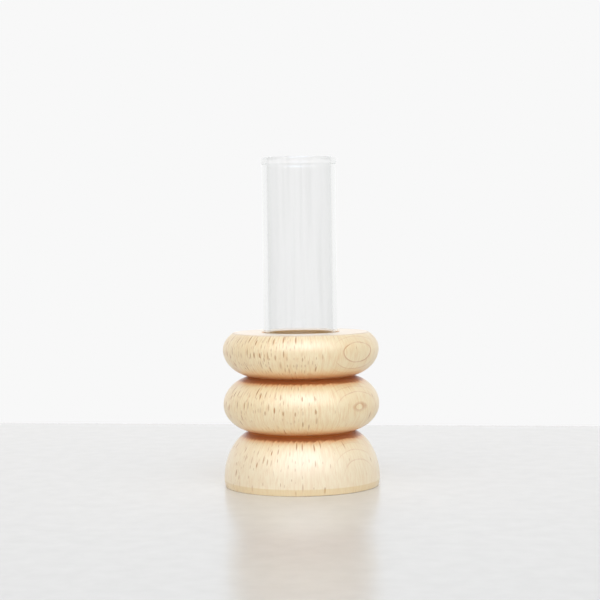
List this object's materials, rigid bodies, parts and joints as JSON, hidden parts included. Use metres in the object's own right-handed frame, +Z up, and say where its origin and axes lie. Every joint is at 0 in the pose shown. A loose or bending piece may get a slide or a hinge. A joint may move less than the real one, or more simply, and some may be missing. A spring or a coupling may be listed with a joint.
{
  "type": "test tube vase",
  "caption": "Small bud vase: a round-ended glass tube stands in the bore of a turned beech stand of stacked rounded rings on a domed foot.",
  "frame": {"origin": "centre of the stand's underside, where the vase rests on a table", "axes": "+Z up along the tube and the turning axis; the vase is round about Z, so X and Y are free, with -Y the side that the picture shows"},
  "size_m": [0.0526, 0.0526, 0.1102],
  "materials": {
    "beech": "turned, sanded and clear satin lacquered",
    "clear_glass": "drawn clear glass, fire-polished lip"
  },
  "bodies": {
    "stand": {"base": "beech", "middle_ring": "beech", "top_ring": "beech"},
    "tube": {"glass_tube": "clear_glass"}
  },
  "joints": [
    {"name": "tube_lift", "type": "slide", "parent": "stand", "child": "tube", "axis": [0, 0, 1], "range_m": [0, 0.05]}
  ]
}
